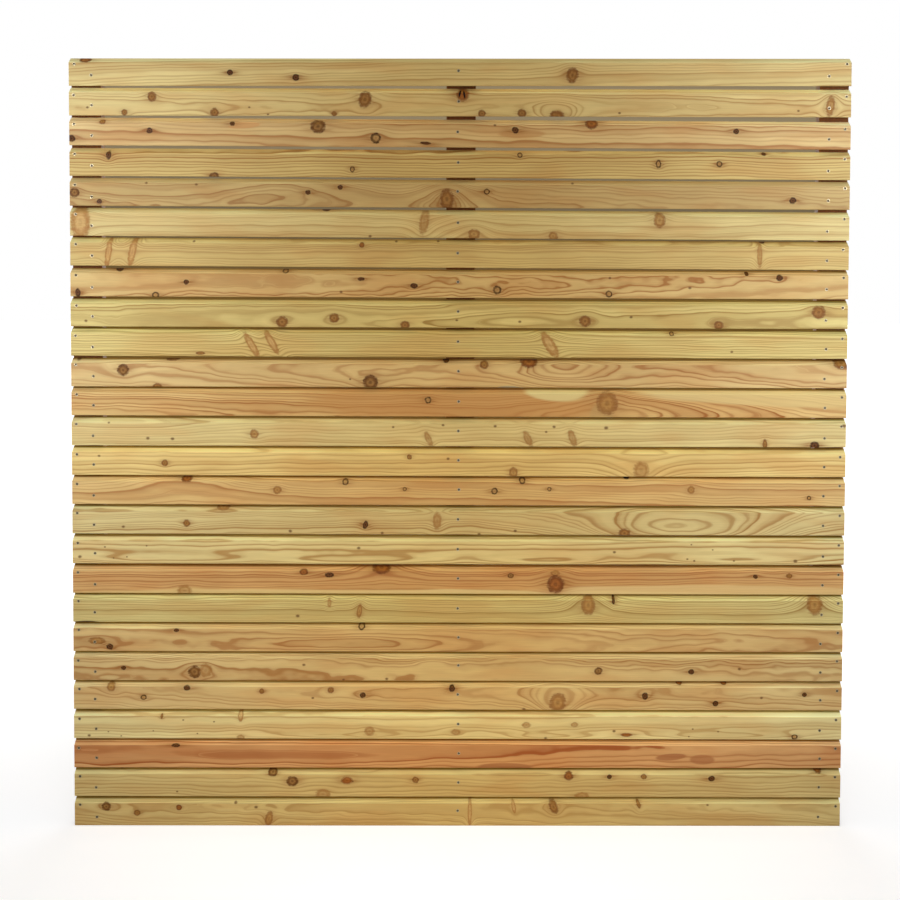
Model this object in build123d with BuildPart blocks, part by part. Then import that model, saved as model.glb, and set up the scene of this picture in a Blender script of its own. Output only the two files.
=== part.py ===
from build123d import *
import math
import os

# A square garden fence panel: rhombus slats laid one above another on three upright battens.
# X runs along the slats, -Y is the face that looks outwards, and +Z is up.
# The origin is the middle of the middle batten's back face.
# Every size is in millimetres.

# Slats: the section is a parallelogram whose top and bottom faces fall towards the front.
# Its face height and rise are measured between sharp corners, before the arrises are eased.
slat_count = 26
slat_length = 1800.0
slat_face_height = 55.0
slat_thickness = 27.0
slat_rise = 13.0
slat_arris = 2.5
# The clear height left between one slat and the next
slat_gap = 4.0

# Battens: planed softwood behind the slats, flush with the slat ends
batten_width = 68.0
batten_thickness = 45.0
batten_arris = 2.0
batten_end_setback = 6.0

# How far each slat was fixed above its even place, at its left and at its right end.
# The top slat is number 1. A slat that isn't listed was laid true.
slat_lifts = {
    1: (-1.0, 9.0),
    2: (0.5, 6.5),
    3: (1.5, 1.0),
    4: (0.5, 0.0),
    5: (1.0, 0.5),
    6: (1.0, -1.5),
    7: (1.5, -1.0),
    8: (-0.5, 0.5),
    9: (-1.0, 0.5),
    11: (-2.0, 0.5),
    13: (-1.0, 0.5),
    14: (-1.0, -0.5),
    17: (-1.0, 0.0),
    18: (-1.5, -1.5),
    19: (-0.5, -0.5),
    20: (-0.5, 0.5),
    22: (1.0, 0.0),
    23: (0.5, -0.5),
    24: (0.0, 0.5),
    25: (1.0, -1.0),
}

# What follows from those sizes
bevel_angle = math.atan2(slat_rise, slat_thickness)
slat_edge_radius = min(slat_arris, 0.3 * slat_thickness, 0.3 * slat_face_height)
# What easing takes off the height at each of the two sharp corners
eased_height = slat_edge_radius * (math.tan(bevel_angle) + 1 / math.cos(bevel_angle) - 1)
slat_height = slat_face_height + slat_rise - 2 * eased_height
slat_pitch = slat_height + slat_gap
panel_height = slat_count * slat_pitch - slat_gap
slat_back = -batten_thickness
batten_edge_radius = min(batten_arris, 0.3 * batten_thickness, 0.3 * batten_width)
batten_length = panel_height - 2 * batten_end_setback
outer_batten_x = slat_length / 2 - batten_width / 2

os.makedirs("parts", exist_ok=True)

# One slat for each number, from the top down
for number in range(1, slat_count + 1):
    lift_left, lift_right = slat_lifts.get(number, (0.0, 0.0))
    even_bottom = panel_height / 2 - slat_height - (number - 1) * slat_pitch
    middle_lift = (lift_left + lift_right) / 2
    slope = math.atan2(lift_right - lift_left, slat_length)
    # The section stands at mid-length, with its local X towards the back and its local Y up
    section_plane = Plane(
        origin=(0, slat_back, even_bottom + middle_lift - eased_height),
        x_dir=(0, 1, 0),
        z_dir=(math.cos(slope), 0, math.sin(slope)),
    )
    with BuildPart() as slat:
        with BuildSketch(section_plane) as section:
            with BuildLine():
                Polyline(
                    (-slat_thickness, 0),
                    (0, slat_rise),
                    (0, slat_rise + slat_face_height),
                    (-slat_thickness, slat_face_height),
                    close=True,
                )
            make_face()
            fillet(section.vertices(), radius=slat_edge_radius)
        extrude(amount=slat_length / 2, both=True)
    slat.part.label = f"slat_{number:02d}"
    export_step(slat.part, f"parts/slat_{number:02d}.step")

# Three battens, all cut from the same stock
batten_places = {
    "batten_left": -outer_batten_x,
    "batten_centre": 0.0,
    "batten_right": outer_batten_x,
}
for batten_name, batten_x in batten_places.items():
    with BuildPart() as batten:
        with BuildSketch(Plane.XY.offset(-batten_length / 2)) as batten_section:
            with Locations((batten_x, -batten_thickness / 2)):
                Rectangle(batten_width, batten_thickness)
            fillet(batten_section.vertices(), radius=batten_edge_radius)
        extrude(amount=batten_length)
    batten.part.label = batten_name
    export_step(batten.part, f"parts/{batten_name}.step")

print("slat pitch", round(slat_pitch, 2), "panel height", round(panel_height, 1))
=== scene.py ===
import math
import random

import bmesh
import bpy
from bpy.props import FloatProperty, FloatVectorProperty, PointerProperty
from mathutils import Euler, Matrix, Vector


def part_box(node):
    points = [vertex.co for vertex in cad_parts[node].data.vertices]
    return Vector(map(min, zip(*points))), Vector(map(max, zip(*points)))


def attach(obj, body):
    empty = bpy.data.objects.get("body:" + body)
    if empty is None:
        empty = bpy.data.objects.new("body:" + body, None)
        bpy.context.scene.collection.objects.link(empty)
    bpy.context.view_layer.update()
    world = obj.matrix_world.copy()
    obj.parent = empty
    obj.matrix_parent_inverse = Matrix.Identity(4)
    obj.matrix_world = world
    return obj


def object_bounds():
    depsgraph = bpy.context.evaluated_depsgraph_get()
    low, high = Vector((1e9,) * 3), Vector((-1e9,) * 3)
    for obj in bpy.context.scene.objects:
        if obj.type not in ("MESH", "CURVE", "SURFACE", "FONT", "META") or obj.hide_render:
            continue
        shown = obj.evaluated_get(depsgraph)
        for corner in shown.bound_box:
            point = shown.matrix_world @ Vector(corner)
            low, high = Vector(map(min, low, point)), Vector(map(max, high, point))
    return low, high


bl_info = {
    "name": "Rhombus slat fence panel",
    "version": (1, 0, 0),
    "blender": (4, 5, 0),
    "location": "View3D > Sidebar > Fence panel",
    "description": "Sawn softwood, screws and a plain stage for a fence panel of rhombus slats",
    "category": "Object",
}

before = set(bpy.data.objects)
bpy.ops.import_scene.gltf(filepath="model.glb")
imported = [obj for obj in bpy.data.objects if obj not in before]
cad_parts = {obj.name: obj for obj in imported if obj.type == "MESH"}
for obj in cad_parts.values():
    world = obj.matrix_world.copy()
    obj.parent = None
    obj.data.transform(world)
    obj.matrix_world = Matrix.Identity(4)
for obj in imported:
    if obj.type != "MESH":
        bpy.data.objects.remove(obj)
panel_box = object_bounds()

slat_count = 26
slat_names = ["slat_%02d" % number for number in range(1, slat_count + 1)]
batten_names = ["batten_left", "batten_centre", "batten_right"]

# How far a slat's right end stands above its left end, in mm
slat_slopes = {1: 10, 2: 6, 6: -2.5, 7: -2.5, 11: 2.5}


# Colours

def paint(red, green, blue):
    """A colour written as 0 to 255, as linear light with full opacity."""
    linear = []
    for level in (red, green, blue):
        share = level / 255
        if share <= 0.04045:
            linear.append(share / 12.92)
        else:
            linear.append(((share + 0.055) / 1.055) ** 2.4)
    return (*linear, 1.0)


# Wood tones: earlywood and latewood
wood_tones = {
    "straw": ((208, 180, 113), (156, 104, 39)),
    "green straw": ((200, 172, 101), (142, 102, 37)),
    "honey": ((202, 173, 108), (152, 100, 37)),
    "golden": ((202, 168, 98), (150, 94, 31)),
    "tan": ((195, 159, 96), (148, 90, 35)),
    "pink tan": ((198, 163, 103), (150, 90, 37)),
    "peach": ((206, 169, 105), (156, 92, 37)),
    "orange tan": ((202, 161, 95), (152, 86, 31)),
    "salmon": ((194, 144, 81), (148, 74, 25)),
    "russet": ((186, 133, 76), (140, 66, 21)),
    "ochre": ((190, 157, 91), (142, 94, 35)),
}

# Kinds of knot: heart colour, rim colour, strength of the heart, the rim, the stain and the dark core,
# how many half lengths the stain runs along the grain, and how far the rings arch over it, in half heights
knot_kinds = {
    "brown": ((156, 106, 46), (108, 60, 20), 0.9, 0.75, 0.8, 0.3, 2.2, 0.4),
    "dark": ((104, 58, 14), (50, 24, 4), 0.95, 0.9, 1.0, 0.8, 3.8, 0.6),
    "ring": ((180, 134, 72), (62, 34, 8), 0.8, 0.95, 0.9, 0.1, 2.8, 0.6),
    "tan": ((176, 126, 60), (126, 74, 28), 0.7, 0.65, 0.7, 0.2, 2.0, 0.4),
    "red": ((154, 88, 30), (96, 46, 10), 0.9, 0.8, 0.9, 0.3, 2.4, 0.5),
    "grey": ((148, 102, 46), (88, 48, 12), 0.92, 0.9, 0.85, 0.4, 2.2, 0.5),
    "spike": ((200, 154, 92), (152, 98, 42), 0.6, 0.75, 0.3, 0.05, 1.3, 0.05),
    "faint": ((168, 118, 58), (140, 88, 34), 0.5, 0.5, 0.4, 0.1, 1.5, 0.15),
    "resin": ((150, 82, 22), (104, 48, 10), 0.85, 0.5, 1.0, 0.0, 2.4, 0.2),
    "black": ((14, 8, 2), (30, 16, 4), 1.0, 0.85, 0.6, 0.3, 1.6, 0.1),
}
knot_stain = (136, 78, 22)
knot_core = (38, 20, 6)
pin_colour = (96, 56, 26)

# What the wood's colour is multiplied by where it is pale or reddish, towards the slats' ends as a painted
# pale sheen, and on the battens' fronts as painted shade
pale_tint = (1.1, 1.13, 1.16)
blush_tint = (0.98, 0.86, 0.8)
end_sheen_tint = (1.06, 1.2, 1.5)
front_shade_tint = (0.4, 0.26, 0.16)

white = (1.0, 1.0, 1.0, 1.0)

# The painted shade that the gaps low on the panel show
low_gap_shade = (150, 115, 60)

# Sizes of the wood's patterns in mm: along the grain, into the board and across it
fibre_size = (70, 2.2, 2.2)
ragged_size = (9, 9, 7)
slat_cloud_size = (190, 60, 42)
batten_cloud_size = (260, 60, 60)
long_wave_size = (260, 120, 95)
short_wave_size = (52, 30, 22)

# Latewood over the width of one growth ring, as (place in the ring, strength)
ring_profile = ((0.0, 0.5), (0.12, 0.06), (0.4, 0.0), (0.66, 0.3), (0.86, 1.0), (0.96, 0.92), (1.0, 0.5))

# Half depth in mm of knots and patches, so long that they go straight through the board
through = 1000.0

# The rings arch over a small knot as they do over one of this half height in mm
least_arch = 6

# Metres to mm
to_mm = (1000.0, 1000.0, 1000.0)

# Depth of the wood's relief in metres
relief_depth = 0.0004

# Heights over the panel's middle, in metres, from which and over which the painted light on the sloped tops
# changes
high_from, high_span = 0.4, 0.46
foot_from, foot_span = -0.15, 0.3
open_from, open_span = 0.3, 0.35

# Where a sloped top passes under the slat above and its painted shade begins, in mm over its slat's middle
# line, and how much lower that lies for each metre below the panel's middle
hidden_from, hidden_to = 27.5, 31.0
hidden_shift = 1.5

# How far the screws stray: along the slat, up it and out of it in metres, and their lean in radians
stray_along = 0.0015
stray_up = 0.002
stray_out = 0.00005
stray_lean = 0.02


def board(tone, light, rings, seed, contrast=1.0, pins=(), bulges=(), patches=(), **knots):
    """One slat's wood. rings is (pith height, pith depth, ring width, taper, wander, ripple), in mm."""
    return {
        "tone": tone,
        "light": light,
        "rings": rings,
        "seed": seed,
        "contrast": contrast,
        "knots": knots,
        "pins": pins,
        "bulges": bulges,
        "patches": patches,
    }


# Places are mm along the slat from its middle and up from its middle line.
# Knots are listed by their kind. A knot is (along, up, half length, half height, lean in degrees),
# without the lean where it stands level.
# A pin is (along, up, radius). A bulge is (along, up, half length, half height, ring lift).
# A patch is (along, up, half length, half height, lean, colour, strength).
# A board's light multiplies its tones: partly the slat's own tone, partly painted light that makes up for
# the uneven lamp light on its row.
boards = {
    1: board(
        "honey", 1.12, (-62, 28, 8.2, -0.02, 6, 0.8), 3.1, 0.6,
        brown=((256, -8, 11, 15, 10),),
        dark=((-531, -2, 5.5, 5.5), (-380, -13, 6.5, 6.5)),
        red=((-864, 28, 11, 6),),
    ),
    2: board(
        "honey", 1.12, (-14, 30, 5.4, 0.016, 6, 1.2), 5.4, 0.8,
        brown=(
            (-710, 11, 8, 10), (-773, -25, 6, 6), (-567, -25, 8, 9), (-221, 6, 12, 16, 20),
            (-292, -27, 5, 5), (48, -26, 7, 7), (140, -25, 8, 8), (220, -33, 14, 12),
        ),
        tan=((852, -7, 8, 20, 8),),
        resin=((4, 18, 12, 14),),
        black=((-3, 20, 2, 8, 14), (7, 18, 2, 8, -8)),
        pins=((365, -24, 3), (778, -18, 3), (-858, -14, 3), (-487, -13, 2.5), (-444, -29, 2.5)),
        bulges=((220, -36, 40, 44, -22),),
    ),
    3: board(
        "pink tan", 1.12, (-46, 34, 9, 0.01, 9, 1.2), 8.2, 0.8,
        brown=((-824, 22, 6, 5),),
        dark=(
            (-716, 2, 6, 5.5), (-526, 19, 5, 4.5), (-895, -17, 7, 7), (-81, -23, 10, 3, 5),
            (125, 8, 6.5, 6.5), (635, 8, 6, 5),
        ),
        ring=((-196, -12, 10, 10),),
        red=((301, 24, 12, 11),),
        grey=((-329, 14, 14, 13),),
        pins=((78, 19, 3),),
        patches=((-498, 16, 34, 7, -3, (206, 150, 92), 0.7), (140, 0, 52, 9, 0, (184, 128, 70), 0.6)),
    ),
    4: board(
        "golden", 0.96, (140, 20, 7.2, 0.006, 5, 0.9), 11.7, 1.0,
        dark=((-810, 16, 5, 9, 8), (701, 27, 4, 4)),
        ring=((-250, -14, 4.5, 6), (136, 21, 5, 5), (456, 2, 5, 8), (597, 3, 5.5, 6)),
        grey=((-568, -32, 9, 8),),
    ),
    5: board(
        "tan", 0.9, (-34, 30, 6.2, 0.03, 8, 1.6), 14.3, 0.65,
        brown=((-32, -13, 13, 20),),
        dark=((-832, -22, 5, 4.5), (-352, 1, 5, 4.5), (-278, 13, 5, 4.5), (768, -12, 6.5, 6.5)),
        ring=((60, 5, 5.5, 5.5),),
        grey=((-889, -2, 9, 9),),
        pins=((-724, 21, 3.2), (-609, 18, 3), (258, 25, 3)),
        bulges=((-32, -16, 56, 64, -26), (-420, 24, 110, 50, -26)),
    ),
    6: board(
        "straw", 0.98, (-130, 20, 4.8, -0.006, 6, 1.2), 17.9, 0.5,
        dark=((-311, 33, 8, 4),),
        tan=((31, -23, 11, 10), (214, -27, 9, 9), (460, 12, 11, 15)),
        spike=((-876, -1, 18, 34),),
        faint=((-84, 6, 9, 26, 8),),
        pins=((-209, -29, 3.5),),
        bulges=((-84, 2, 26, 70, 14), (24, -28, 40, 56, -22)),
    ),
    7: board(
        "golden", 0.94, (120, 25, 6.8, 0.008, 5, 1.2), 21.2, 0.6,
        dark=((700, 33, 6, 4),),
        red=((-228, 19, 5, 5),),
        spike=((-812, -2, 6, 29, 8), (-757, 0, 7, 29, 12)),
        faint=((693, 2, 5, 26),),
        pins=((-616, 25, 3), (-149, 28, 3), (-52, 29, 3)),
    ),
    8: board(
        "tan", 1.1, (6, 38, 6.8, 0.018, 10, 2.2), 24.6, 1.05,
        dark=(
            (-789, 31, 7, 5), (-633, 1, 5, 5), (-883, -24, 5, 8), (-230, 10, 7, 3.5), (-107, -5, 7, 5),
            (664, 26, 4, 4), (740, 17, 6.5, 6),
        ),
        ring=((-704, -29, 7, 6), (-405, 28, 6, 5), (85, -14, 8, 8), (344, -22, 6.5, 6.5)),
        pins=((-276, -20, 3.5), (346, 15, 3), (532, -7, 3.5)),
    ),
    9: board(
        "green straw", 1.04, (-18, 34, 6.4, -0.014, 9, 1.3), 28.4, 0.9,
        brown=(
            (-412, -21, 11, 11), (-292, -11, 9.5, 9), (-128, -27, 9, 8), (289, -16, 11, 11),
            (832, 7, 13, 13), (600, -24, 9, 8),
        ),
        pins=((-865, -20, 3.5), (-8, -15, 3), (138, -18, 3.5), (396, -6, 3.5)),
        bulges=((118, -16, 110, 22, -13),),
    ),
    10: board(
        "green straw", 1.06, (-150, 25, 5.6, 0.004, 5, 0.8), 31.5, 1.1,
        brown=((-601, -25, 9, 3),),
        ring=((491, 24, 4.5, 4.5),),
        spike=((-483, -6, 7, 28, -30), (-437, 1, 7, 26, -30), (208, -3, 10, 28, -32)),
        pins=((631, -17, 3.2),),
    ),
    11: board(
        "peach", 0.98, (14, 36, 8, -0.045, 12, 1.6), 35.2, 0.85,
        brown=((-668, 35, 14, 7), (-701, -32, 9, 6), (56, 20, 8, 8), (888, 26, 15, 12)),
        dark=((-33, 30, 6, 5),),
        red=((160, 28, 16, 12),),
        grey=((-780, 6, 11, 11), (-208, -21, 14, 14)),
        pins=((-885, 31, 5), (-255, -14, 2.5)),
        bulges=((-225, -20, 60, 36, -12), (240, 40, 60, 64, -44)),
        patches=((112, -33, 26, 4, 0, (122, 122, 108), 0.6),),
    ),
    12: board(
        "orange tan", 1.02, (-40, 30, 6.4, 0.034, 9, 1.3), 38.8, 1.05,
        ring=((-74, 6, 6.5, 6.5),),
        tan=((342, 0, 20, 22),),
        bulges=((-160, -44, 140, 50, -14), (370, -6, 180, 70, -48)),
        patches=(
            (-20, 0, 330, 60, 0, (188, 130, 68), 0.6), (231, 26, 74, 22, 3, (216, 192, 126), 0.9),
            (330, -20, 26, 20, 0, (186, 152, 92), 0.6), (690, 20, 330, 24, 2, (214, 188, 126), 0.75),
        ),
    ),
    13: board(
        "straw", 1.0, (78, 34, 7, 0.008, 8, 1.0), 42.1, 0.5,
        brown=((711, -25, 4.5, 10),),
        dark=((827, -27, 9, 7),),
        tan=((-477, -5, 8.5, 9),),
        faint=((-73, -15, 6, 16, -24), (158, -14, 7, 17, -26), (262, -12, 7, 17, -20)),
        pins=(
            (-724, -16, 4), (-667, -17, 4), (-814, 20, 2.5), (-155, 12, 3), (-39, 17, 3.2), (82, 15, 3.5),
            (219, 14, 3.5), (201, 2, 3), (340, 12, 4.5), (895, 18, 5),
        ),
        bulges=((-800, 30, 110, 40, -22),),
    ),
    14: board(
        "golden", 1.14, (110, 30, 9, 0.006, 6, 0.9), 45.3, 0.65,
        brown=((-685, -4, 6, 6.5), (-117, 12, 5, 5)),
        tan=((125, -24, 8, 11),),
        faint=((423, -18, 15, 17),),
        pins=((-837, 12, 3.2), (-27, 8, 3.5)),
        bulges=((423, -24, 50, 64, -26),),
    ),
    15: board(
        "orange tan", 1.02, (-86, 34, 8, 0.018, 7, 1.1), 48.9, 0.65,
        ring=(
            (-266, 21, 6, 6), (-128, 5, 4, 4), (81, 1, 6.5, 6.5), (209, 6, 4.2, 4.2), (146, 25, 6, 6),
            (816, -13, 4.2, 4.2),
        ),
        tan=((-424, 2, 8, 8), (540, 5, 7, 8)),
        red=((-635, 28, 10, 7),),
        black=((390, 33, 6, 4),),
        bulges=((-635, 38, 90, 56, -28),),
    ),
    16: board(
        "honey", 0.96, (78, 36, 7, 0.008, 7, 1.2), 52.2, 0.9,
        brown=((-635, -7, 7, 7), (385, -28, 11, 9)),
        dark=((-219, -10, 5, 8, 12),),
        tan=((-551, 31, 12, 8),),
        faint=((-52, 0, 8, 18),),
        pins=((-782, -16, 3.5), (-394, -25, 4), (-180, -29, 3.5), (130, -23, 3.5), (46, -31, 3.5)),
        bulges=((520, -28, 170, 60, -92),),
    ),
    17: board(
        "straw", 1.0, (70, 44, 9, 0.004, 6, 0.9), 55.6, 1.4,
        pins=(
            (-883, -17, 4), (-235, 5, 4), (362, -3, 3.5), (786, -23, 4.5), (-825, 6, 2.2), (-728, 9, 2.2),
            (-805, -20, 2), (-774, -17, 2), (533, -19, 2.5), (549, -23, 2.5), (642, -23, 2.5), (592, 3, 2),
            (542, 15, 2),
        ),
        bulges=(
            (-700, -22, 150, 15, -26), (-245, -24, 150, 15, -26), (195, -24, 100, 13, -24),
            (640, -22, 140, 14, -25),
        ),
    ),
    18: board(
        "salmon", 0.98, (-120, 25, 6.8, -0.006, 7, 1.1), 59.3, 0.9,
        brown=((772, 12, 6, 5),),
        dark=((-303, 12, 9, 5), (693, 10, 4.5, 4)),
        tan=((224, 17, 9, 5),),
        red=((-363, 18, 8, 6), (-182, 28, 17, 11), (225, -9, 16, 17)),
        grey=((120, 11, 6, 5),),
        faint=((-640, -27, 14, 12),),
        bulges=((-182, 36, 60, 44, -24),),
        patches=(
            (0, -38, 1000, 15, 0.2, (212, 182, 116), 0.85), (640, -28, 440, 17, 0.4, (216, 184, 122), 0.7),
        ),
    ),
    19: board(
        "green straw", 0.96, (-160, 20, 5.4, 0.005, 6, 0.8), 62.8, 0.85,
        dark=((361, 22, 3, 9),),
        tan=((-233, -5, 5, 14, 8), (302, 10, 13, 19), (833, 12, 15, 20)),
        faint=((-303, 14, 4, 9),),
        pins=((-377, -17, 4),),
        bulges=((302, 14, 40, 60, -20), (833, 14, 44, 60, -20)),
        patches=((-870, -33, 26, 4, 0, (70, 48, 28), 0.9),),
    ),
    20: board(
        "orange tan", 0.94, (-14, 36, 9.5, 0.02, 15, 1.8), 66.1, 0.75,
        dark=((-815, -22, 7, 5.5, 20), (-660, 17, 5, 3.5)),
        ring=((-228, 26, 6.5, 6),),
        tan=((-845, -8, 16, 7),),
        bulges=((-230, -12, 200, 30, -24),),
    ),
    21: board(
        "tan", 1.02, (-24, 34, 8, 0.012, 12, 2.4), 69.5, 0.9,
        dark=((-784, -3, 5, 4), (545, -10, 5.5, 5.5)),
        grey=((-618, -12, 12, 12), (327, -8, 8, 7)),
        faint=((-592, -8, 12, 13),),
        pins=((-363, 5, 3.5), (-169, -28, 3.5), (658, -3, 3.5), (-270, -30, 3)),
        bulges=((-62, 8, 26, 14, -10),),
    ),
    22: board(
        "tan", 1.08, (12, 34, 6.6, -0.03, 10, 1.6), 72.7, 0.65,
        brown=((-461, 11, 5, 5), (-300, 14, 6.5, 6)),
        dark=(
            (-636, 18, 6.5, 5), (-225, 2, 5.5, 5.5), (-16, 18, 5.5, 6.5), (437, 1, 6, 7),
            (603, -17, 5.5, 5.5), (812, 5, 4.5, 4.5),
        ),
        ring=((-737, -4, 6, 5),),
        tan=((-813, 20, 8, 9), (232, -15, 15, 19, 14)),
        red=((518, 30, 6, 4), (623, 30, 6, 4)),
        pins=((-342, -5, 3), (153, -31, 4), (711, -3, 3.5)),
        bulges=((232, -18, 46, 60, -26),),
    ),
    23: board(
        "straw", 1.06, (90, 44, 7.4, 0.003, 6, 1.0), 76.4, 0.55,
        brown=((-695, 20, 2.5, 4.5),),
        ring=((790, -26, 6, 5),),
        spike=((-511, 22, 5, 11),),
        faint=((-511, -29, 8, 5), (-209, -14, 10, 9), (-7, -16, 9, 6), (159, 1, 9, 6), (272, 2, 7, 5)),
        resin=((394, -22, 11, 4),),
        pins=(
            (-865, -25, 3.5), (-645, 12, 2.2), (-573, 8, 2.2), (-820, -16, 2), (-790, -26, 2),
            (-715, -14, 2), (-612, -20, 2), (365, -13, 3.5), (204, -30, 3.5), (550, -8, 2.2),
            (610, -14, 2.2), (541, -26, 2),
        ),
        bulges=((-260, -26, 180, 12, -19), (210, -28, 90, 12, -18), (630, -26, 160, 13, -20)),
    ),
    24: board(
        "russet", 1.14, (14, 40, 10, 0.012, 12, 1.0), 79.8, 1.0,
        dark=((-663, 20, 8, 3),),
        bulges=((-350, -6, 220, 16, -14),),
        patches=(
            (108, -30, 60, 9, 0, (156, 96, 52), 0.8), (500, -6, 36, 8, -4, (160, 98, 56), 0.8),
            (572, -12, 30, 12, 0, (160, 98, 56), 0.7),
        ),
    ),
    25: board(
        "ochre", 1.04, (66, 40, 8.2, -0.006, 10, 1.3), 83.3, 0.65,
        brown=((-101, 8, 6.5, 6.5), (436, 16, 6, 5)),
        dark=((-791, 34, 5, 3), (355, 16, 4.5, 4.5), (596, 12, 6.5, 5.5)),
        red=((259, 17, 9, 8), (848, 31, 8, 7)),
        grey=((-436, 25, 9, 7), (-390, 5, 11, 10)),
        faint=((290, -30, 14, 8), (-318, -26, 14, 10)),
        resin=((-262, 7, 11, 8),),
        pins=((-248, 4, 2.2), (-660, -20, 2.5)),
    ),
    26: board(
        "ochre", 1.08, (14, 38, 4.8, -0.024, 9, 1.5), 86.9, 0.55,
        brown=((-754, -2, 6.5, 6), (224, 13, 8, 14, -24), (424, 19, 3.5, 9, -20)),
        tan=((-445, -16, 7, 16, 12),),
        red=((-656, 11, 5.5, 5.5),),
        grey=((-826, 13, 9, 8),),
        spike=((27, 1, 4, 30), (130, 13, 4, 13, -12)),
        pins=((-523, 22, 3.5), (-475, 12, 4), (587, 18, 3)),
    ),
}


# Nodes

def add_node(tree, kind, inputs=None, **settings):
    """A new node with its settings made and its inputs filled or linked."""
    made = tree.nodes.new(kind)
    for name, value in settings.items():
        setattr(made, name, value)
    for name, value in (inputs or {}).items():
        if isinstance(value, bpy.types.NodeSocket):
            tree.links.new(value, made.inputs[name])
        else:
            made.inputs[name].default_value = value
    return made


def sums(tree, operation, *values, clamp=False):
    """The result of a Math node."""
    made = add_node(tree, "ShaderNodeMath", dict(enumerate(values)), operation=operation, use_clamp=clamp)
    return made.outputs[0]


def times(tree, first, second, clamp=False):
    """One value times another."""
    return sums(tree, "MULTIPLY", first, second, clamp=clamp)


def vectors(tree, operation, *values, out="Vector"):
    """The result of a Vector Math node."""
    return add_node(tree, "ShaderNodeVectorMath", dict(enumerate(values)), operation=operation).outputs[out]


def scaled(tree, vector, factor):
    """A vector or a colour times a number."""
    made = add_node(tree, "ShaderNodeVectorMath", {0: vector, "Scale": factor}, operation="SCALE")
    return made.outputs[0]


def axes(tree, vector):
    """The X, Y and Z of a vector."""
    return add_node(tree, "ShaderNodeSeparateXYZ", {0: vector}).outputs


def facing(tree):
    """The X, Y and Z of the way a surface faces."""
    return axes(tree, add_node(tree, "ShaderNodeNewGeometry").outputs["Normal"])


def own_place(tree):
    """Object coordinates."""
    return add_node(tree, "ShaderNodeTexCoord").outputs["Object"]


def half_sizes_away(tree, place, centre, size, lean=(0.0, 0.0, 0.0)):
    """A place as seen from a centre, turned by a lean and counted in half sizes."""
    return add_node(
        tree,
        "ShaderNodeMapping",
        {"Vector": place, "Location": centre, "Rotation": lean, "Scale": size},
        vector_type="TEXTURE",
    ).outputs[0]


def noise(tree, place, size, detail=2.0, roughness=0.5, shift=(0.0, 0.0, 0.0), out="Fac"):
    """A noise with cells of a size, read at a place."""
    cell = vectors(tree, "MULTIPLY_ADD", place, tuple(1 / length for length in size), shift)
    return add_node(tree, "ShaderNodeTexNoise", {
        "Vector": cell, "Scale": 1.0, "Detail": detail, "Roughness": roughness,
    }).outputs[out]


def ramp(tree, value, low, high, to_low=0.0, to_high=1.0, soft=True):
    """A value moved from one span to another, held at the ends."""
    return add_node(
        tree,
        "ShaderNodeMapRange",
        {"Value": value, "From Min": low, "From Max": high, "To Min": to_low, "To Max": to_high},
        interpolation_type="SMOOTHSTEP" if soft else "LINEAR",
    ).outputs["Result"]


def blend(tree, share, first, second):
    """Two colours mixed by a share."""
    return add_node(
        tree, "ShaderNodeMix", {0: share, 6: first, 7: second}, data_type="RGBA", clamp_factor=True
    ).outputs[2]


def start_group(name, inputs, outputs):
    """A node group with its sockets, which are listed by their kind, and what it is given."""
    group = bpy.data.node_groups.new(name, "ShaderNodeTree")
    kinds = {"value": "NodeSocketFloat", "vector": "NodeSocketVector", "colour": "NodeSocketColor"}
    for way, sockets in (("INPUT", inputs), ("OUTPUT", outputs)):
        for kind, labels in sockets.items():
            for label in labels.split(", "):
                group.interface.new_socket(name=label, in_out=way, socket_type=kinds[kind])
    return group, group.nodes.new("NodeGroupInput").outputs


def place_group(tree, group, inputs):
    """The outputs of a group put to use in a tree."""
    return add_node(tree, "ShaderNodeGroup", inputs, node_tree=group).outputs


def start_material(name):
    """A material and its node tree, empty."""
    material = bpy.data.materials.new(name)
    material.use_nodes = True
    material.node_tree.nodes.clear()
    return material, material.node_tree


def finish_material(tree, inputs, relief=None, strength=0.0, depth=relief_depth):
    """A principled surface, with a relief if there is one, as what the material shows."""
    if relief is not None:
        bump = add_node(tree, "ShaderNodeBump", {"Strength": strength, "Distance": depth, "Height": relief})
        inputs = {**inputs, "Normal": bump.outputs[0]}
    surface = add_node(tree, "ShaderNodeBsdfPrincipled", inputs)
    add_node(tree, "ShaderNodeOutputMaterial", {"Surface": surface.outputs[0]})


# Wood

def make_bend_group():
    """Grain that parts round a knot, and the distance from the knot's middle in knot radii."""
    group, given = start_group(
        "grain_round_knot",
        {"vector": "Place, Bent, Centre, Size, Lean, Reach", "value": "Lift, Spread, Rise"},
        {"vector": "Bent", "value": "Lift, Distance, Streak"},
    )
    place, centre = given["Place"], given["Centre"]
    local = half_sizes_away(group, place, centre, given["Size"], given["Lean"])
    reach = vectors(group, "MULTIPLY", local, (0.36, 0.0, 0.55))
    squared = vectors(group, "DOT_PRODUCT", reach, reach, out="Value")
    near = sums(group, "EXPONENT", times(group, squared, -1.0))
    offset = vectors(group, "MULTIPLY", vectors(group, "SUBTRACT", place, centre), (0, 0, 1))
    moved = scaled(group, offset, times(group, near, given["Spread"]))
    along = vectors(group, "MULTIPLY", local, given["Reach"])
    fading = vectors(group, "DOT_PRODUCT", along, along, out="Value")
    add_node(group, "NodeGroupOutput", {
        "Bent": vectors(group, "SUBTRACT", given["Bent"], moved),
        "Lift": sums(group, "MULTIPLY_ADD", near, given["Rise"], given["Lift"]),
        "Distance": vectors(group, "LENGTH", local, out="Value"),
        "Streak": sums(group, "EXPONENT", times(group, fading, -1.0)),
    })
    return group


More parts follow.
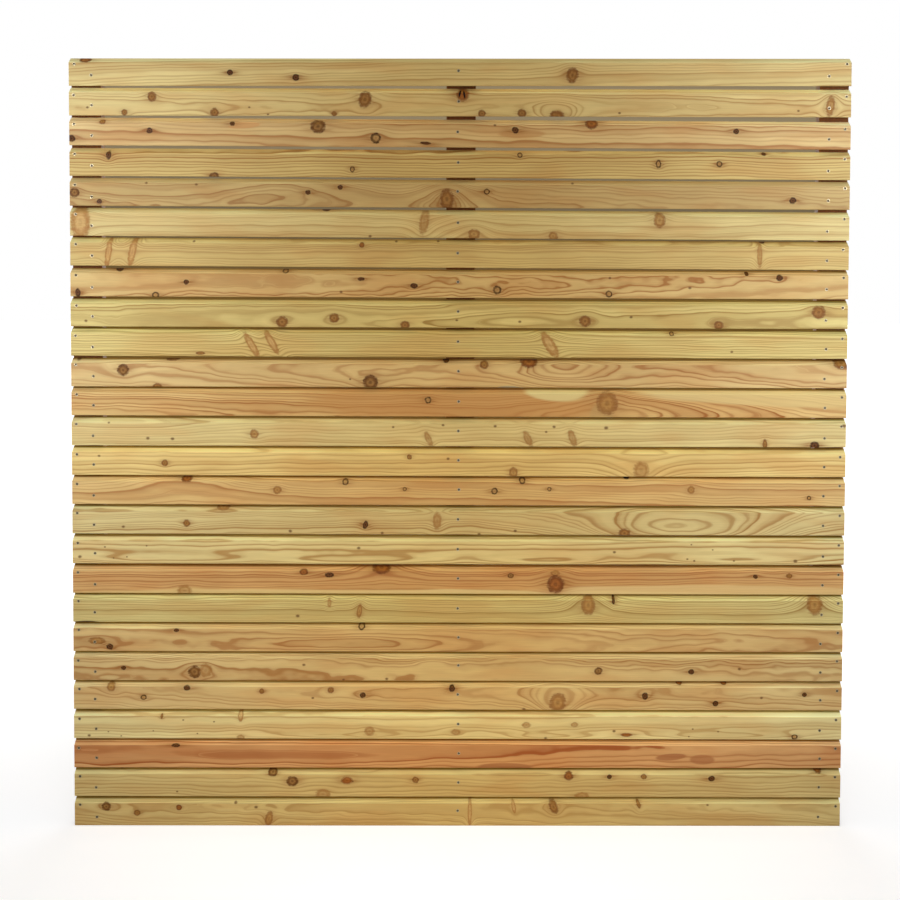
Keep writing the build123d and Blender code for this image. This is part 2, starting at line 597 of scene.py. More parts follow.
def make_knot_group():
    """A knot painted over the wood: stain along the grain, heart with its own rings, rim and dark core."""
    group, given = start_group(
        "knot",
        {
            "colour": "Wood, Heart, Rim",
            "value": "Distance, Streak, Ragged, Fibre, Heart Share, Rim Share, Stain, Core",
        },
        {"colour": "Wood"},
    )
    ragged, fibre, rim_colour, rim_share = given["Ragged"], given["Fibre"], given["Rim"], given["Rim Share"]
    away = sums(group, "MULTIPLY_ADD", ragged, 0.6, given["Distance"])
    torn = ramp(group, fibre, 0.36, 0.62, 0.25, 1.0)
    stain = times(group, times(group, given["Streak"], torn), given["Stain"])
    stained = blend(group, stain, given["Wood"], paint(*knot_stain))
    halo = ramp(group, sums(group, "ABSOLUTE", sums(group, "SUBTRACT", away, 1.5)), 0.3, 0.05, 0.0, 0.15)
    ringed = blend(group, halo, stained, given["Wood"])
    rings = ramp(group, sums(group, "SINE", times(group, away, 13.0)), -1.0, 1.0, 0.0, 0.3)
    heart = blend(group, sums(group, "MULTIPLY_ADD", ragged, 1.3, rings), given["Heart"], rim_colour)
    outside = ramp(group, given["Distance"], 1.7, 1.0, 0.0, 0.35)
    fringe = times(group, outside, ramp(group, fibre, 0.52, 0.62))
    fringed = blend(group, times(group, fringe, rim_share), ringed, rim_colour)
    inside = times(group, ramp(group, away, 1.15, 0.8), given["Heart Share"])
    hearted = blend(group, inside, fringed, heart)
    edge = sums(group, "ABSOLUTE", sums(group, "SUBTRACT", away, 0.95))
    broken = ramp(group, ragged, -0.15, 0.25, 1.0, 0.5)
    rim = times(group, ramp(group, edge, 0.42, 0.14), broken)
    rimmed = blend(group, times(group, rim, rim_share), hearted, rim_colour)
    core = times(group, ramp(group, away, 0.5, 0.1), given["Core"])
    add_node(group, "NodeGroupOutput", {"Wood": blend(group, core, rimmed, paint(*knot_core))})
    return group


def make_patch_group():
    """A soft-edged long patch of another colour over the wood, such as sapwood, resin or bark."""
    group, given = start_group(
        "patch",
        {"colour": "Wood, Colour", "vector": "Place, Centre, Size, Lean", "value": "Ragged, Share"},
        {"colour": "Wood"},
    )
    local = half_sizes_away(group, given["Place"], given["Centre"], given["Size"], given["Lean"])
    away = sums(group, "MULTIPLY_ADD", given["Ragged"], 0.5, vectors(group, "LENGTH", local, out="Value"))
    share = times(group, ramp(group, away, 1.15, 0.84), given["Share"])
    add_node(group, "NodeGroupOutput", {"Wood": blend(group, share, given["Wood"], given["Colour"])})
    return group


def make_ring_group():
    """Growth rings cut by the board's faces: how strong the latewood is and which ring it is."""
    group, given = start_group(
        "growth_rings",
        {
            "vector": "Place",
            "value": "Lift, Seed, Pith Height, Pith Depth, Ring Width, Taper, Wander, Ripple",
        },
        {"value": "Latewood, Growth"},
    )
    seed = given["Seed"]
    shift = add_node(group, "ShaderNodeCombineXYZ", {0: seed, 1: seed, 2: seed}).outputs[0]
    long_wave = noise(group, given["Place"], long_wave_size, 2.6, 0.42, shift)
    short_wave = noise(group, given["Place"], short_wave_size, 1.0, 0.4, shift)
    place = axes(group, given["Place"])
    wander = times(group, sums(group, "MULTIPLY_ADD", long_wave, 4.0, -2.0), given["Wander"])
    height = sums(group, "SUBTRACT", sums(group, "ADD", place["Z"], wander), given["Pith Height"])
    depth = sums(group, "ADD", place["Y"], given["Pith Depth"])
    across = sums(group, "SQRT", sums(group, "MULTIPLY_ADD", height, height, times(group, depth, depth)))
    drift = sums(group, "MULTIPLY_ADD", place["X"], given["Taper"], given["Lift"])
    ripple = times(group, sums(group, "MULTIPLY_ADD", short_wave, 4.0, -2.0), given["Ripple"])
    radius = sums(group, "ADD", sums(group, "ADD", across, drift), ripple)
    order = sums(group, "DIVIDE", radius, given["Ring Width"])
    uneven = add_node(
        group,
        "ShaderNodeTexNoise",
        {"W": sums(group, "MULTIPLY_ADD", order, 0.37, seed), "Scale": 1.0, "Detail": 0.0},
        noise_dimensions="1D",
    ).outputs["Fac"]
    phase = sums(group, "MULTIPLY_ADD", uneven, 1.8, order)
    ring = sums(group, "FLOOR", phase)
    growth = add_node(
        group, "ShaderNodeTexWhiteNoise", {"W": sums(group, "ADD", ring, seed)}, noise_dimensions="1D"
    ).outputs["Value"]
    profile = add_node(group, "ShaderNodeValToRGB", {"Fac": sums(group, "SUBTRACT", phase, ring)})
    stops = profile.color_ramp
    stops.interpolation = "EASE"
    while len(stops.elements) < len(ring_profile):
        stops.elements.new(0.5)
    for stop, (position, level) in zip(stops.elements, ring_profile):
        stop.position = position
        stop.color = (level, level, level, 1.0)
    strength = ramp(group, growth, 0.0, 1.0, 0.45, 1.0, soft=False)
    latewood = times(group, profile.outputs["Color"], strength)
    add_node(group, "NodeGroupOutput", {"Latewood": latewood, "Growth": growth})
    return group


def ring_group():
    """The growth rings' node group, made once."""
    return bpy.data.node_groups.get("growth_rings") or make_ring_group()


def middle_height(node_name):
    """The height of a piece's middle over the panel's middle, in metres."""
    low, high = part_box(node_name)
    return (low.z + high.z) / 2


def slat_place(tree, node_name, slope):
    """Object coordinates as mm from the middle of the slat's front face, level with the slat."""
    low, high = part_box(node_name)
    middle = middle_height(node_name) * 1000
    tilt = math.atan2(slope, (high.x - low.x) * 1000)
    return add_node(
        tree,
        "ShaderNodeMapping",
        {
            "Vector": own_place(tree),
            "Location": (-middle * math.sin(tilt), -low.y * 1000, -middle * math.cos(tilt)),
            "Rotation": (0.0, tilt, 0.0),
            "Scale": to_mm,
        },
        vector_type="POINT",
    ).outputs[0]


def slope_light(node_name, look):
    """How much painted light a slat's sloped top gets: more so high on the panel and near its foot."""
    if node_name == slat_names[0]:
        return look.slope_light_open
    height = middle_height(node_name)
    plain = look.slope_light
    if height > high_from:
        return plain + (look.slope_light_top - plain) * (height - high_from) / high_span
    share = min(max((foot_from - height) / foot_span, 0.0), 1.0)
    return plain + (look.slope_light_foot - plain) * share


def channel_light(node_name, look):
    """How light the painted shade leaves a sloped top deep under the slat above: not darker high on the
    panel.
    """
    share = min(max((middle_height(node_name) - open_from) / open_span, 0.0), 1.0)
    return look.channel_light + (1.0 - look.channel_light) * share


def ellipse(along, up, half_length, half_height, lean=0.0):
    """Where a knot, a bulge or a patch lies, as the node groups take it."""
    return {
        "Centre": (along, 0.0, up),
        "Size": (half_length, through, half_height),
        "Lean": (0.0, math.radians(lean), 0.0),
    }


def bend_grain(tree, place, wood, groups, look):
    """The grain bent by a slat's knots and bulges, and how far each kind of knot and its stain are away."""
    bent, lift = place, 0.0
    spots = {}
    for kind, places in wood["knots"].items():
        reach, rise = knot_kinds[kind][-2:]
        for knot in places:
            half_height = knot[3]
            out = place_group(tree, groups["bend"], {
                "Place": place, "Bent": bent, "Lift": lift, **ellipse(*knot),
                "Spread": look.parting,
                "Rise": -rise * look.rise * max(half_height, least_arch),
                "Reach": (1 / reach, 0.0, 0.85),
            })
            bent, lift = out["Bent"], out["Lift"]
            distance, streak = out["Distance"], out["Streak"]
            if kind in spots:
                distance = sums(tree, "MINIMUM", distance, spots[kind][0])
                streak = sums(tree, "MAXIMUM", streak, spots[kind][1])
            spots[kind] = (distance, streak)
    for along, up, half_length, half_height, rise in wood["bulges"]:
        out = place_group(tree, groups["bend"], {
            "Place": place, "Bent": bent, "Lift": lift,
            **ellipse(along, up, half_length * 0.5, half_height * 0.5),
            "Spread": 0.0,
            "Rise": rise,
        })
        bent, lift = out["Bent"], out["Lift"]
    return bent, lift, spots


def paint_plain(tree, place, rings, clouds, fibre, wood, look):
    """The wood between the knots, with a painted pale sheen towards the slat's ends, and the colour of its
    latewood.
    """
    early, late = wood_tones[wood["tone"]]
    tone = Vector(paint(*early)[:3]) * wood["light"]
    line = (*(Vector(paint(*late)[:3]) * wood["light"]), 1.0)
    pale, blush = [
        (*(level * factor for level, factor in zip(tone, tint)), 1.0) for tint in (pale_tint, blush_tint)
    ]
    colour = blend(tree, ramp(tree, clouds["Red"], 0.38, 0.66), (*tone, 1.0), pale)
    colour = blend(tree, ramp(tree, clouds["Green"], 0.46, 0.7, 0.0, 0.75), colour, blush)
    colour = blend(tree, ramp(tree, rings["Growth"], 0.55, 1.0, 0.0, 0.24), colour, line)
    along = sums(tree, "ABSOLUTE", axes(tree, place)["X"])
    # Painted sheen: the slats turn paler and greyer towards their ends, standing in for the brighter light
    # there
    end_sheen = ramp(tree, along, 120.0, 900.0, 0.0, look.end_sheen_strength, soft=False)
    colour = blend(tree, end_sheen, colour, vectors(tree, "MULTIPLY", colour, end_sheen_tint))
    latewood = times(tree, rings["Latewood"], look.line_strength * wood["contrast"], clamp=True)
    colour = blend(tree, latewood, colour, line)
    shade = ramp(tree, fibre, 0.3, 0.7, 1.0 - look.fibre_strength, 1.0 + look.fibre_strength, soft=False)
    return scaled(tree, colour, shade), line


def paint_pins(tree, colour, place, ragged, pins):
    """Pin knots over the wood, as small dark dots."""
    nearest = None
    for along, up, radius in pins:
        local = half_sizes_away(tree, place, (along, 0.0, up), (radius * 1.3, through, radius))
        distance = vectors(tree, "LENGTH", local, out="Value")
        nearest = distance if nearest is None else sums(tree, "MINIMUM", nearest, distance)
    if nearest is None:
        return colour
    away = sums(tree, "MULTIPLY_ADD", ragged, 0.5, nearest)
    return blend(tree, ramp(tree, away, 1.2, 0.35, 0.0, 0.8), colour, paint(*pin_colour))


def light_slope(tree, colour, place, upward, node_name, look):
    """Painted light and shade on the sloped top: painted light makes it lighter than the face, and painted
    shade makes it dark and warm deep under the slat above.
    """
    steep = ramp(tree, upward, 0.5, 0.85)
    level = slope_light(node_name, look)
    # Painted glare: the lightest sloped tops also turn paler and bluer
    painted_glare = max(level - 1.5, 0.0)
    lit = (level * 0.93, level * (1.05 + 0.25 * painted_glare), level * (1.12 + 0.6 * painted_glare), 1.0)
    colour = vectors(tree, "MULTIPLY", colour, blend(tree, steep, white, lit))
    lower = min(middle_height(node_name), 0.0) * hidden_shift
    hidden = ramp(tree, axes(tree, place)["Z"], hidden_from + lower, hidden_to + lower)
    dim = channel_light(node_name, look)
    deep = (dim, dim ** 1.25, dim ** 2.1, 1.0)
    return vectors(tree, "MULTIPLY", colour, blend(tree, times(tree, hidden, steep), white, deep))


def make_slat_wood(number, wood, groups, look):
    """Sawn softwood for one slat, with its own tone, rings and knots."""
    node_name = slat_names[number - 1]
    material, tree = start_material("softwood_" + node_name)
    place = slat_place(tree, node_name, slat_slopes.get(number, 0))
    ragged = sums(tree, "SUBTRACT", noise(tree, place, ragged_size, roughness=0.65), 0.5)
    bent, lift, spots = bend_grain(tree, place, wood, groups, look)
    pith_height, pith_depth, ring_width, taper, wander, ripple = wood["rings"]
    rings = place_group(tree, groups["rings"], {
        "Place": bent, "Lift": lift, "Seed": wood["seed"],
        "Pith Height": pith_height, "Pith Depth": pith_depth, "Ring Width": ring_width,
        "Taper": taper, "Wander": wander, "Ripple": ripple,
    })
    fibre = noise(tree, bent, fibre_size, roughness=0.6)
    cloud = noise(tree, place, slat_cloud_size, 1.0, shift=(wood["seed"],) * 3, out="Color")
    clouds = add_node(tree, "ShaderNodeSeparateColor", {0: cloud}).outputs

    colour, line = paint_plain(tree, place, rings, clouds, fibre, wood, look)
    broad = sums(tree, "SUBTRACT", clouds["Blue"], 0.5)
    for along, up, half_length, half_height, lean, tint, strength in wood["patches"]:
        colour = place_group(tree, groups["patch"], {
            "Wood": colour, "Place": bent, "Ragged": broad,
            **ellipse(along, up, half_length, half_height, lean),
            "Colour": paint(*tint), "Share": strength,
        })["Wood"]
    for kind in knot_kinds:
        if kind in spots:
            distance, streak = spots[kind]
            heart, rim, heart_share, rim_share, stain, core = knot_kinds[kind][:6]
            colour = place_group(tree, groups["knot"], {
                "Wood": colour, "Distance": distance, "Streak": streak, "Ragged": ragged, "Fibre": fibre,
                "Heart": paint(*heart), "Rim": paint(*rim), "Heart Share": heart_share,
                "Rim Share": rim_share, "Stain": stain, "Core": core,
            })["Wood"]
    colour = paint_pins(tree, colour, place, ragged, wood["pins"])

    faces = facing(tree)
    end = ramp(tree, sums(tree, "ABSOLUTE", faces["X"]), 0.6, 0.9, 0.0, 0.45)
    colour = blend(tree, end, colour, line)
    colour = light_slope(tree, colour, place, faces["Z"], node_name, look)
    roughness = ramp(tree, rings["Latewood"], 0.0, 1.0, look.roughness, look.roughness - 0.12)
    relief = noise(tree, place, fibre_size, 1.0, 0.6)
    skin = {"Base Color": colour, "Roughness": roughness, "Specular IOR Level": 0.12}
    finish_material(tree, skin, relief, look.bump_strength)
    return material


def make_batten_wood(name, seed, look):
    """Planed softwood for an upright batten, with its rings running upwards."""
    material, tree = start_material("softwood_" + name)
    low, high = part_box(name)
    place = add_node(tree, "ShaderNodeMapping", {
        "Vector": own_place(tree),
        "Location": (seed * 7.0, -high.y * 1000, -(low.x + high.x) * 500),
        "Rotation": (0.0, math.radians(90), 0.0),
        "Scale": to_mm,
    }, vector_type="POINT").outputs[0]
    rings = place_group(tree, look["rings"], {
        "Place": place, "Lift": 0.0, "Seed": seed, "Pith Height": 18.0, "Pith Depth": 60.0,
        "Ring Width": 6.0, "Taper": 0.012, "Wander": 6.0, "Ripple": 1.0,
    })
    fibre = noise(tree, place, fibre_size, roughness=0.6)
    cloud = noise(tree, place, batten_cloud_size, shift=(seed,) * 3)
    colour = blend(tree, ramp(tree, cloud, 0.35, 0.65), look["tone"], look["pale"])
    colour = blend(tree, times(tree, rings["Latewood"], 0.75), colour, look["line"])
    colour = scaled(tree, colour, ramp(tree, fibre, 0.3, 0.7, 0.9, 1.1, soft=False))
    faces = facing(tree)
    end = ramp(tree, sums(tree, "ABSOLUTE", faces["Z"]), 0.6, 0.9, 0.0, 0.45)
    colour = blend(tree, end, colour, look["line"])
    # Painted shade: the batten's front face, seen only through the gaps, is darkened as it lies in shade
    # there
    front_shade = vectors(tree, "MULTIPLY", colour, front_shade_tint)
    colour = blend(tree, ramp(tree, faces["Y"], -0.5, -0.9), colour, front_shade)
    roughness = ramp(tree, rings["Latewood"], 0.0, 1.0, 0.7, 0.58)
    skin = {"Base Color": colour, "Roughness": roughness, "Specular IOR Level": 0.15}
    finish_material(tree, skin, fibre, 0.5)
    return material


# Screws

def make_screw_steel():
    """Dull stainless steel, brushed and a little stained."""
    material, tree = start_material("stainless_screws")
    mottle = add_node(tree, "ShaderNodeTexNoise", {
        "Vector": own_place(tree), "Scale": 900.0, "Detail": 2.0, "Roughness": 0.6}).outputs["Fac"]
    colour = blend(tree, ramp(tree, mottle, 0.35, 0.65), paint(150, 142, 120), paint(190, 182, 158))
    roughness = ramp(tree, mottle, 0.3, 0.7, 0.32, 0.5)
    skin = {"Base Color": colour, "Roughness": roughness, "Metallic": 1.0}
    finish_material(tree, skin, mottle, 0.3, 0.0001)
    return material


def make_recess_dark():
    """The inside of a screw's drive recess, painted dark as its shade, brownish and mottled."""
    material, tree = start_material("screw_recess")
    recess_mottle = add_node(tree, "ShaderNodeTexNoise", {
        "Vector": own_place(tree), "Scale": 1400.0}).outputs["Fac"]
    colour = blend(tree, ramp(tree, recess_mottle, 0.3, 0.7), paint(78, 62, 32), paint(104, 86, 48))
    finish_material(tree, {"Base Color": colour, "Roughness": 0.7})
    return material


def add_screw(mesh, place, look):
    """One countersunk head in a slat's face: a bevelled disc with a deep round recess."""
    dish = 0.0001
    recess_chamfer = 0.0003
    head = bmesh.ops.create_cone(
        mesh,
        cap_ends=True,
        segments=14,
        radius1=look.head_radius,
        radius2=look.head_radius,
        depth=look.head_height,
        matrix=Matrix.Identity(4),
    )
    made = set(head["verts"])
    faces = {face for vert in made for face in vert.link_faces}
    front = max(faces, key=lambda face: face.calc_center_median().z)
    dish_width = look.head_radius - look.rim_width - look.recess_radius
    steps = ((look.rim_width, 0.0), (dish_width, -dish), (recess_chamfer, -look.recess_depth))
    for thickness, depth in steps:
        ring = bmesh.ops.inset_region(mesh, faces=[front], thickness=thickness, depth=depth)["faces"]
        for face in ring:
            made.update(face.verts)
    # The recess walls and floor take the second material, the recess's painted shade
    for face in ring + [front]:
        face.material_index = 1
    made.update(front.verts)
    bmesh.ops.transform(mesh, matrix=place, verts=list(made))


def new_object(scene, name, shape, *materials):
    """A finished shape as an object in the scene."""
    mesh = bpy.data.meshes.new(name)
    shape.to_mesh(mesh)
    shape.free()
    for material in materials:
        mesh.materials.append(material)
    made = bpy.data.objects.new(name, mesh)
    scene.collection.objects.link(made)
    return made


# Property groups

def length_property(name, description, default):
    """A length in the sidebar, in metres."""
    return FloatProperty(name=name, description=description, default=default, unit="LENGTH")


def power_property(name, description, default):
    """A lamp's power in the sidebar, in watts."""
    description = "Power of the soft lamp " + description
    return FloatProperty(name=name, description=description, default=default, unit="POWER")


def number_property(name, description, default, low=0.0, high=1.0):
    """A bare number in the sidebar."""
    return FloatProperty(name=name, description=description, default=default, min=low, max=high)


def colour_property(name, description, default):
    """A colour in the sidebar."""
    return FloatVectorProperty(
        name=name, description=description, default=paint(*default)[:3],
        subtype="COLOR", size=3, min=0.0, max=1.0,
    )


class SlatSettings(bpy.types.PropertyGroup):
    line_strength: number_property("Latewood", "How dark the growth rings stand out", 0.9, high=1.5)
    fibre_strength: number_property("Fibres", "How much the fine fibres vary the tone", 0.05, high=0.4)
    parting: number_property("Parting", "How far the rings part round a knot", 0.7, high=0.95)
    rise: number_property("Rise", "How far the rings arch over the knots", 1.0, high=2.0)
    # Painted sheen: how much paler the slats' ends are painted, for the brighter light there
    end_sheen_strength: number_property("Dry ends", "How much paler the slats are at their ends", 1.0)
    roughness: number_property("Roughness", "Roughness of the planed face", 0.56, low=0.2)
    # The sloped tops' lightness is painted light, and the inner part's darkness is painted shade
    slope_light: number_property("Sloped top", "How light it is half way up the panel", 1.58, 0.5, 2.5)
    slope_light_top: number_property("Sloped top, high", "The same high on the panel", 1.8, 0.5, 2.5)
    slope_light_open: number_property("Sloped top, topmost", "The same with none above", 1.6, 0.5, 2.5)
    slope_light_foot: number_property("Sloped top, lowest", "The same for the lowest slats", 1.78, 0.5, 2.5)
    channel_light: number_property("Inner part", "How light it is deep under the slat above", 0.35, low=0.1)
    bump_strength: number_property("Bump", "Strength of the fibre's relief", 0.5)


class BattenSettings(bpy.types.PropertyGroup):
    tone: colour_property("Tone", "Colour of the earlywood", (158, 118, 72))
    line: colour_property("Latewood", "Colour of the latewood", (116, 76, 38))


class ScrewSettings(bpy.types.PropertyGroup):
    head_radius: length_property("Head radius", "Radius of a screw's head", 0.0035)
    head_height: length_property("Head height", "Thickness of the modelled head", 0.0014)
    rim_width: length_property("Rim width", "Width of the head's flat rim", 0.0004)
    recess_radius: length_property("Recess radius", "Radius of the drive recess", 0.0027)
    recess_depth: length_property("Recess depth", "Depth of the drive recess", 0.0004)
    proud: length_property("Proud", "How far a head stands out of the slat's face", 0.0008)
    outer_inset: length_property("Outer screw", "From a slat's end to its outer screw", 0.012)
    inner_inset: length_property("Inner screw", "From a slat's end to its inner screw", 0.051)
    outer_height: length_property("Outer height", "Outer screw above the slat's middle line", 0.016)
    inner_height: length_property("Inner height", "Inner screw above the slat's middle line", -0.010)
    middle_along: length_property("Middle place", "Middle screws right of the slats' middle", -0.0035)
    middle_lean: length_property("Middle lean", "How much further the topmost middle screw lies", -0.0035)
    middle_height: length_property("Middle height", "Middle screw above the slat's middle line", 0.0035)


class StageSettings(bpy.types.PropertyGroup):
    right_lamp: power_property("Right lamp", "at the right", 5.2)
    left_lamp: power_property("Left lamp", "at the left", 5.0)
    front_lamp: power_property("Front lamp", "in front", 3.9)
    rear_lamp: power_property("Rear lamp", "behind the panel", 52.0)
    room_light: number_property("Room light", "Strength of the even light of the room", 0.53)
    gap_shade: colour_property("Gap shade", "What shows through the gaps, in the shade", (144, 129, 100))
    lens: FloatProperty(name="Lens", description="Focal length of the camera", default=72.56, unit="CAMERA")


# Operators

class FENCE_OT_slat_wood(bpy.types.Operator):
    """Give each slat its own sawn softwood"""

    bl_idname = "fence.slat_wood"
    bl_label = "Slat wood"

    def execute(self, context):
        groups = {
            "bend": make_bend_group(),
            "knot": make_knot_group(),
            "patch": make_patch_group(),
            "rings": ring_group(),
        }
        for number, name in enumerate(slat_names, 1):
            material = make_slat_wood(number, boards[number], groups, context.scene.fence_slats)
            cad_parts[name].material_slots[0].material = material
        return {"FINISHED"}


class FENCE_OT_batten_wood(bpy.types.Operator):
    """Give each batten its planed softwood"""

    bl_idname = "fence.batten_wood"
    bl_label = "Batten wood"

    def execute(self, context):
        settings = context.scene.fence_battens
        look = {
            "rings": ring_group(),
            "tone": (*settings.tone, 1.0),
            "pale": (*[min(level * 1.25, 1.0) for level in settings.tone], 1.0),
            "line": (*settings.line, 1.0),
        }
        for seed, name in enumerate(batten_names, 101):
            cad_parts[name].material_slots[0].material = make_batten_wood(name, seed + 0.3, look)
        return {"FINISHED"}


class FENCE_OT_screws(bpy.types.Operator):
    """Drive two screws into each slat's ends and one into its middle"""

    bl_idname = "fence.screws"
    bl_label = "Screws"

    def execute(self, context):
        look = context.scene.fence_screws
        chance = random.Random(26)
        shape = bmesh.new()
        top = panel_box[1][2]
        for number, name in enumerate(slat_names, 1):
            low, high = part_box(name)
            middle = middle_height(name)
            half = (high.x - low.x) / 2
            tilt = math.atan2(slat_slopes.get(number, 0) / 1000, high.x - low.x)
            spots = [(look.middle_along + look.middle_lean * middle / top, look.middle_height)]
            for side in (-1, 1):
                spots.append((side * (half - look.outer_inset), look.outer_height))
                spots.append((side * (half - look.inner_inset), look.inner_height))
            for along, up in spots:
                along += chance.uniform(-stray_along, stray_along)
                up += chance.uniform(-stray_up, stray_up)
                x = along * math.cos(tilt) - up * math.sin(tilt)
                z = middle + along * math.sin(tilt) + up * math.cos(tilt)
                out = look.proud + chance.uniform(-stray_out, stray_out)
                spin = Euler((math.radians(90), 0.0, 0.0)).to_matrix().to_4x4()
                turn = Matrix.Rotation(chance.uniform(0, math.tau), 4, "Z")
                lean = Matrix.Rotation(chance.uniform(-stray_lean, stray_lean), 4, "X")
                place = Matrix.Translation((x, low.y - out + look.head_height / 2, z)) @ spin @ lean @ turn
                add_screw(shape, place, look)
        bmesh.ops.recalc_face_normals(shape, faces=shape.faces[:])
        screws = new_object(context.scene, "screws", shape, make_screw_steel(), make_recess_dark())
        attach(screws, "root")
        return {"FINISHED"}


class FENCE_OT_stage(bpy.types.Operator):
    """Set up the floor, the backdrop, the lamps and the camera"""

    bl_idname = "fence.stage"
    bl_label = "Stage"

    def execute(self, context):
        scene = context.scene
        look = scene.fence_stage
        scene.view_settings.view_transform = "Standard"
        set_room_light(scene, look.room_light)
        add_floor(scene)
        add_gap_shade(scene, (*look.gap_shade, 1.0))
        add_lamp(scene, "lamp_right", (1.3, -2.4, 0.6), (1.0, 0.0, 0.42), (0.5, 1.0), 58, look.right_lamp)
        add_lamp(scene, "lamp_left", (-1.3, -2.4, 0.6), (-1.0, 0.0, 0.42), (0.5, 1.0), 58, look.left_lamp)
        add_lamp(scene, "lamp_front", (0.0, -2.6, 0.0), (0.0, 0.0, -1.0), (0.8, 0.8), 60, look.front_lamp)
        add_lamp(scene, "lamp_rear", (0.2, 3.4, 0.2), (0.0, 0.0, 0.0), (1.6, 1.6), 180, look.rear_lamp)
        add_camera(scene, look.lens)
        return {"FINISHED"}


# Stage

def set_room_light(scene, strength):
    """Even light from the front, less of it from behind, and white for what the camera sees."""
    world = bpy.data.worlds.new("room")
    world.use_nodes = True
    tree = world.node_tree
    tree.nodes.clear()
    rays = add_node(tree, "ShaderNodeLightPath").outputs
    seen = sums(tree, "MAXIMUM", rays["Is Camera Ray"], rays["Is Transmission Ray"])
    way = axes(tree, add_node(tree, "ShaderNodeTexCoord").outputs["Generated"])["Y"]
    even = ramp(tree, way, -0.1, 0.3, strength, strength * 0.25)
    level = sums(tree, "MAXIMUM", seen, even)
    back = add_node(tree, "ShaderNodeBackground", {"Color": white, "Strength": level})
    add_node(tree, "ShaderNodeOutputWorld", {"Surface": back.outputs[0]})
    scene.world = world


def add_floor(scene):
    """A plain white floor under the panel, which keeps its shadow."""
    half_width = 30.0
    shape = bmesh.new()
    under = Matrix.Translation((0.0, 0.0, panel_box[0][2]))
    bmesh.ops.create_grid(shape, x_segments=1, y_segments=1, size=half_width, matrix=under)
    material, tree = start_material("floor_white")
    rays = add_node(tree, "ShaderNodeLightPath").outputs
    surface = add_node(tree, "ShaderNodeBsdfPrincipled", {
        "Base Color": (0.8, 0.8, 0.8, 1.0), "Roughness": 0.9, "Specular IOR Level": 0.0})
    level = ramp(tree, vectors(tree, "LENGTH", own_place(tree), out="Value"), 1.2, 3.4, 0.55, 1.0)
    glow = add_node(tree, "ShaderNodeEmission", {
        "Color": white, "Strength": times(tree, rays["Is Camera Ray"], level)})
    both = add_node(tree, "ShaderNodeAddShader", {0: surface.outputs[0], 1: glow.outputs[0]})
    add_node(tree, "ShaderNodeOutputMaterial", {"Surface": both.outputs[0]})
    floor = new_object(scene, "floor", shape, material)


def add_gap_shade(scene, colour):
    """A dim glowing sheet close behind the panel, seen only from the front and only through the gaps,
    painting the shade there, darker and browner low on the panel.
    """
    inset = 0.045
    behind = 0.002
    lower = 0.003
    low, high = panel_box
    shape = bmesh.new()
    bmesh.ops.create_grid(shape, x_segments=1, y_segments=1, size=0.5)
    wide = high[0] - low[0] - 2 * inset
    tall = high[2] - low[2] - 2 * inset
    bmesh.ops.scale(shape, vec=(wide, tall, 1.0), verts=shape.verts)
    bmesh.ops.rotate(shape, matrix=Matrix.Rotation(math.radians(90), 3, "X"), verts=shape.verts)
    bmesh.ops.translate(shape, vec=(0.0, behind, (low[2] + high[2]) / 2 - lower), verts=shape.verts)
    material, tree = start_material("gap_shade")
    front = sums(tree, "SUBTRACT", 1.0, add_node(tree, "ShaderNodeNewGeometry").outputs["Backfacing"])
    height = axes(tree, own_place(tree))["Z"]
    # Painted shade: the sheet glows dimmer and browner lower on the panel
    level = ramp(tree, height, 0.45, 0.8, 0.52, 1.0)
    seen = blend(tree, ramp(tree, height, 0.3, 0.6), paint(*low_gap_shade), colour)
    glow = add_node(tree, "ShaderNodeEmission", {"Color": seen, "Strength": level})
    clear = add_node(tree, "ShaderNodeBsdfTransparent")
    mixed = add_node(tree, "ShaderNodeMixShader", {0: front, 1: clear.outputs[0], 2: glow.outputs[0]})
    add_node(tree, "ShaderNodeOutputMaterial", {"Surface": mixed.outputs[0]})
    sheet = new_object(scene, "gap_shade", shape, material)
    sheet.visible_diffuse = False
    sheet.visible_glossy = False
    sheet.visible_transmission = False
    sheet.visible_shadow = False


def add_lamp(scene, name, place, target, size, spread, power):
    """A soft lamp of a width and height, aimed at a point, its beam as wide as spread in degrees."""
    light = bpy.data.lights.new(name, "AREA")
    light.shape = "RECTANGLE"
    light.size, light.size_y = size
    light.spread = math.radians(spread)
    light.energy = power
    lamp = bpy.data.objects.new(name, light)
    lamp.location = place
    lamp.rotation_euler = (Vector(target) - Vector(place)).to_track_quat("-Z", "Y").to_euler()
    scene.collection.objects.link(lamp)


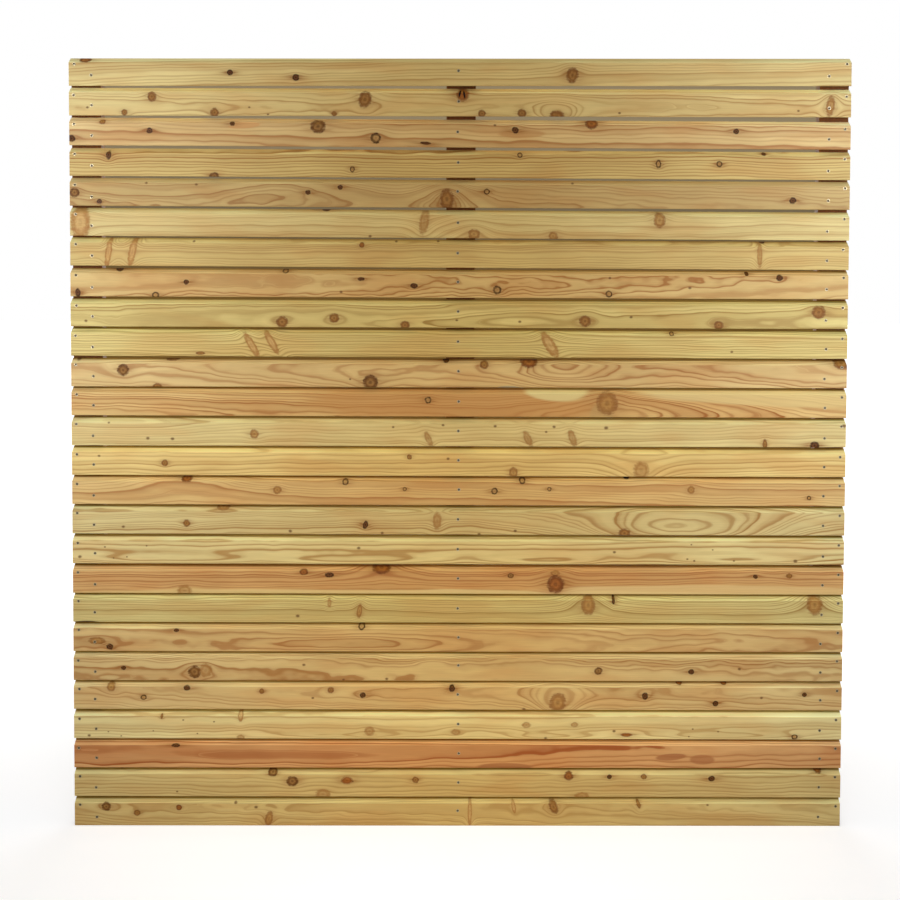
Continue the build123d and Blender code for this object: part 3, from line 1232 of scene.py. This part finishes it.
def add_camera(scene, lens):
    """The photograph's camera: a little above the middle, and turned slightly right and down."""
    yaw = 0.01287
    pitch = 0.05658
    roll = -0.00489
    ahead = Vector((math.sin(yaw) * math.cos(pitch), math.cos(yaw) * math.cos(pitch), -math.sin(pitch)))
    level = Vector((math.cos(yaw), -math.sin(yaw), 0.0))
    under = ahead.cross(level)
    right = math.cos(roll) * level + math.sin(roll) * under
    down = -math.sin(roll) * level + math.cos(roll) * under
    place = Matrix((right, -down, -ahead)).transposed().to_4x4()
    place.translation = (0.01546, -4.27299, 0.45434)
    data = bpy.data.cameras.new("camera")
    data.lens = lens
    data.sensor_width = 36.0
    data.shift_x = -0.0446
    data.shift_y = -0.1062
    data.clip_start = 0.1
    data.clip_end = 200.0
    camera = bpy.data.objects.new("camera", data)
    camera.matrix_world = place
    scene.collection.objects.link(camera)
    scene.camera = camera


# Sidebar

class FENCE_PT_sidebar(bpy.types.Panel):
    """The fence panel's pieces and their settings"""

    bl_idname = "FENCE_PT_sidebar"
    bl_label = "Fence panel"
    bl_space_type = "VIEW_3D"
    bl_region_type = "UI"
    bl_category = "Fence panel"

    def draw(self, context):
        parts = (
            ("fence.slat_wood", "fence_slats"),
            ("fence.batten_wood", "fence_battens"),
            ("fence.screws", "fence_screws"),
            ("fence.stage", "fence_stage"),
        )
        for operator, settings_name in parts:
            box = self.layout.box()
            box.operator(operator)
            settings = getattr(context.scene, settings_name)
            for name in settings.__annotations__:
                box.prop(settings, name)


classes = (
    SlatSettings,
    BattenSettings,
    ScrewSettings,
    StageSettings,
    FENCE_OT_slat_wood,
    FENCE_OT_batten_wood,
    FENCE_OT_screws,
    FENCE_OT_stage,
    FENCE_PT_sidebar,
)


def register():
    for made in classes:
        bpy.utils.register_class(made)
    bpy.types.Scene.fence_slats = PointerProperty(type=SlatSettings)
    bpy.types.Scene.fence_battens = PointerProperty(type=BattenSettings)
    bpy.types.Scene.fence_screws = PointerProperty(type=ScrewSettings)
    bpy.types.Scene.fence_stage = PointerProperty(type=StageSettings)


def unregister():
    del bpy.types.Scene.fence_stage
    del bpy.types.Scene.fence_screws
    del bpy.types.Scene.fence_battens
    del bpy.types.Scene.fence_slats
    for made in reversed(classes):
        bpy.utils.unregister_class(made)


def main():
    register()
    bpy.ops.fence.slat_wood()
    bpy.ops.fence.batten_wood()
    bpy.ops.fence.screws()
    bpy.ops.fence.stage()


if __name__ == "__main__":
    main()
